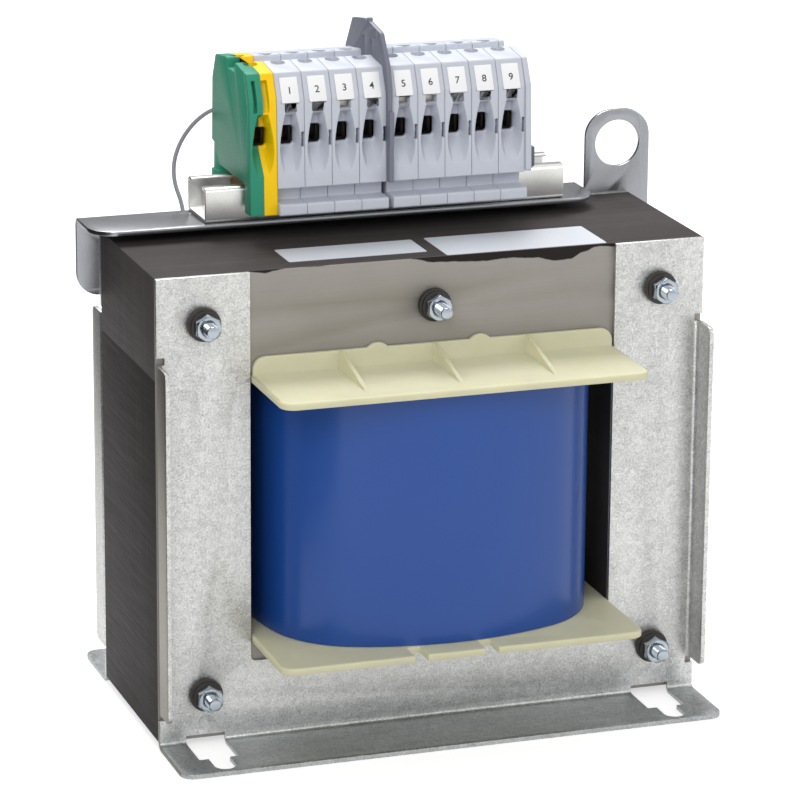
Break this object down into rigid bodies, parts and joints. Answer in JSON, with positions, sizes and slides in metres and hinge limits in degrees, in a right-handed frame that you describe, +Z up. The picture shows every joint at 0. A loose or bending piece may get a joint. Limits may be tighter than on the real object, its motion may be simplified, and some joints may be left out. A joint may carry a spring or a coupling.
{
  "type": "control transformer",
  "caption": "Open-frame control transformer: laminated core on pressed steel feet, coil on a flanged bobbin, rail of screw terminals on a rear bracket with a lifting eye.",
  "frame": {"origin": "under the middle of the core, on the surface that the feet stand on", "axes": "+X to the lifting lug's end, -Y to the front with the top labels, +Z up"},
  "size_m": [0.26, 0.176, 0.2906],
  "materials": {
    "varnished_core": "dark varnish",
    "galvanised_sheet": "galvanised",
    "zinc_fastener": "bright zinc",
    "tinned_bar": "tinned",
    "bobbin_plastic": "satin",
    "copper_winding": "enamelled",
    "winding_insulation": "matt",
    "blue_wrap": "gloss film",
    "black_plastic": "matt",
    "terminal_plastic": "matt",
    "green_plastic": "matt",
    "yellow_plastic": "matt",
    "slate_plastic": "matt",
    "white_plastic": "matt",
    "grey_sheath": "satin"
  },
  "bodies": {
    "transformer": {"e_lamination_stack": "varnished_core", "i_lamination_stack": "varnished_core", "front_mounting_frame": "galvanised_sheet", "rear_mounting_frame": "galvanised_sheet", "coil_bobbin": "bobbin_plastic", "primary_winding": "copper_winding", "interwinding_insulation": "winding_insulation", "secondary_winding": "copper_winding", "coil_wrap": "blue_wrap", "core_studs": "zinc_fastener", "stud_sleeves": "winding_insulation", "insulating_washers": "black_plastic", "stud_nuts": "zinc_fastener", "terminal_bracket": "galvanised_sheet", "terminal_rail": "galvanised_sheet", "rail_rivets": "zinc_fastener", "terminal_housing_1": "terminal_plastic", "terminal_housing_2": "terminal_plastic", "terminal_housing_3": "terminal_plastic", "terminal_housing_4": "terminal_plastic", "terminal_housing_5": "terminal_plastic", "terminal_housing_6": "terminal_plastic", "terminal_housing_7": "terminal_plastic", "terminal_housing_8": "terminal_plastic", "terminal_housing_9": "terminal_plastic", "marker_tags": "white_plastic", "current_bars": "tinned_bar", "earth_shell_green": "green_plastic", "earth_shell_yellow": "yellow_plastic", "earth_bar": "tinned_bar", "separator_plate": "slate_plastic", "end_plate": "terminal_plastic", "end_stop": "slate_plastic", "rear_clamp_cages": "zinc_fastener", "rear_clamp_screws": "zinc_fastener", "lead_lug": "tinned_bar", "earth_lead": "grey_sheath", "top_labels": "white_plastic"},
    "screw_00": {"clamp_screw_00": "zinc_fastener"},
    "cage_00": {"clamp_cage_00": "zinc_fastener"},
    "screw_01": {"clamp_screw_01": "zinc_fastener"},
    "cage_01": {"clamp_cage_01": "zinc_fastener"},
    "screw_02": {"clamp_screw_02": "zinc_fastener"},
    "cage_02": {"clamp_cage_02": "zinc_fastener"},
    "screw_03": {"clamp_screw_03": "zinc_fastener"},
    "cage_03": {"clamp_cage_03": "zinc_fastener"},
    "screw_04": {"clamp_screw_04": "zinc_fastener"},
    "cage_04": {"clamp_cage_04": "zinc_fastener"},
    "screw_05": {"clamp_screw_05": "zinc_fastener"},
    "cage_05": {"clamp_cage_05": "zinc_fastener"},
    "screw_06": {"clamp_screw_06": "zinc_fastener"},
    "cage_06": {"clamp_cage_06": "zinc_fastener"},
    "screw_07": {"clamp_screw_07": "zinc_fastener"},
    "cage_07": {"clamp_cage_07": "zinc_fastener"},
    "screw_08": {"clamp_screw_08": "zinc_fastener"},
    "cage_08": {"clamp_cage_08": "zinc_fastener"},
    "screw_09": {"clamp_screw_09": "zinc_fastener"},
    "cage_09": {"clamp_cage_09": "zinc_fastener"}
  },
  "joints": [
    {"name": "screw_00_turn", "type": "hinge", "parent": "transformer", "child": "screw_00", "pos_m": [-0.0601, 0.02105, 0.27], "axis": [0, 0, -1], "range_deg": [0, 3600]},
    {"name": "cage_00_lift", "type": "slide", "parent": "transformer", "child": "cage_00", "axis": [0, 0, 1], "range_m": [0, 0.007]},
    {"name": "screw_01_turn", "type": "hinge", "parent": "transformer", "child": "screw_01", "pos_m": [-0.0481, 0.02105, 0.27], "axis": [0, 0, -1], "range_deg": [0, 3600]},
    {"name": "cage_01_lift", "type": "slide", "parent": "transformer", "child": "cage_01", "axis": [0, 0, 1], "range_m": [0, 0.007]},
    {"name": "screw_02_turn", "type": "hinge", "parent": "transformer", "child": "screw_02", "pos_m": [-0.0361, 0.02105, 0.27], "axis": [0, 0, -1], "range_deg": [0, 3600]},
    {"name": "cage_02_lift", "type": "slide", "parent": "transformer", "child": "cage_02", "axis": [0, 0, 1], "range_m": [0, 0.007]},
    {"name": "screw_03_turn", "type": "hinge", "parent": "transformer", "child": "screw_03", "pos_m": [-0.0241, 0.02105, 0.27], "axis": [0, 0, -1], "range_deg": [0, 3600]},
    {"name": "cage_03_lift", "type": "slide", "parent": "transformer", "child": "cage_03", "axis": [0, 0, 1], "range_m": [0, 0.007]},
    {"name": "screw_04_turn", "type": "hinge", "parent": "transformer", "child": "screw_04", "pos_m": [-0.0121, 0.02105, 0.27], "axis": [0, 0, -1], "range_deg": [0, 3600]},
    {"name": "cage_04_lift", "type": "slide", "parent": "transformer", "child": "cage_04", "axis": [0, 0, 1], "range_m": [0, 0.007]},
    {"name": "screw_05_turn", "type": "hinge", "parent": "transformer", "child": "screw_05", "pos_m": [0.0019, 0.02105, 0.27], "axis": [0, 0, -1], "range_deg": [0, 3600]},
    {"name": "cage_05_lift", "type": "slide", "parent": "transformer", "child": "cage_05", "axis": [0, 0, 1], "range_m": [0, 0.007]},
    {"name": "screw_06_turn", "type": "hinge", "parent": "transformer", "child": "screw_06", "pos_m": [0.0139, 0.02105, 0.27], "axis": [0, 0, -1], "range_deg": [0, 3600]},
    {"name": "cage_06_lift", "type": "slide", "parent": "transformer", "child": "cage_06", "axis": [0, 0, 1], "range_m": [0, 0.007]},
    {"name": "screw_07_turn", "type": "hinge", "parent": "transformer", "child": "screw_07", "pos_m": [0.0259, 0.02105, 0.27], "axis": [0, 0, -1], "range_deg": [0, 3600]},
    {"name": "cage_07_lift", "type": "slide", "parent": "transformer", "child": "cage_07", "axis": [0, 0, 1], "range_m": [0, 0.007]},
    {"name": "screw_08_turn", "type": "hinge", "parent": "transformer", "child": "screw_08", "pos_m": [0.0379, 0.02105, 0.27], "axis": [0, 0, -1], "range_deg": [0, 3600]},
    {"name": "cage_08_lift", "type": "slide", "parent": "transformer", "child": "cage_08", "axis": [0, 0, 1], "range_m": [0, 0.007]},
    {"name": "screw_09_turn", "type": "hinge", "parent": "transformer", "child": "screw_09", "pos_m": [0.0499, 0.02105, 0.27], "axis": [0, 0, -1], "range_deg": [0, 3600]},
    {"name": "cage_09_lift", "type": "slide", "parent": "transformer", "child": "cage_09", "axis": [0, 0, 1], "range_m": [0, 0.007]}
  ],
  "couplings": [
    {"joint": "screw_00_turn", "follows": "cage_00_lift", "rad_per_m": 8975},
    {"joint": "screw_01_turn", "follows": "cage_01_lift", "rad_per_m": 8975},
    {"joint": "screw_02_turn", "follows": "cage_02_lift", "rad_per_m": 8975},
    {"joint": "screw_03_turn", "follows": "cage_03_lift", "rad_per_m": 8975},
    {"joint": "screw_04_turn", "follows": "cage_04_lift", "rad_per_m": 8975},
    {"joint": "screw_05_turn", "follows": "cage_05_lift", "rad_per_m": 8975},
    {"joint": "screw_06_turn", "follows": "cage_06_lift", "rad_per_m": 8975},
    {"joint": "screw_07_turn", "follows": "cage_07_lift", "rad_per_m": 8975},
    {"joint": "screw_08_turn", "follows": "cage_08_lift", "rad_per_m": 8975},
    {"joint": "screw_09_turn", "follows": "cage_09_lift", "rad_per_m": 8975}
  ]
}
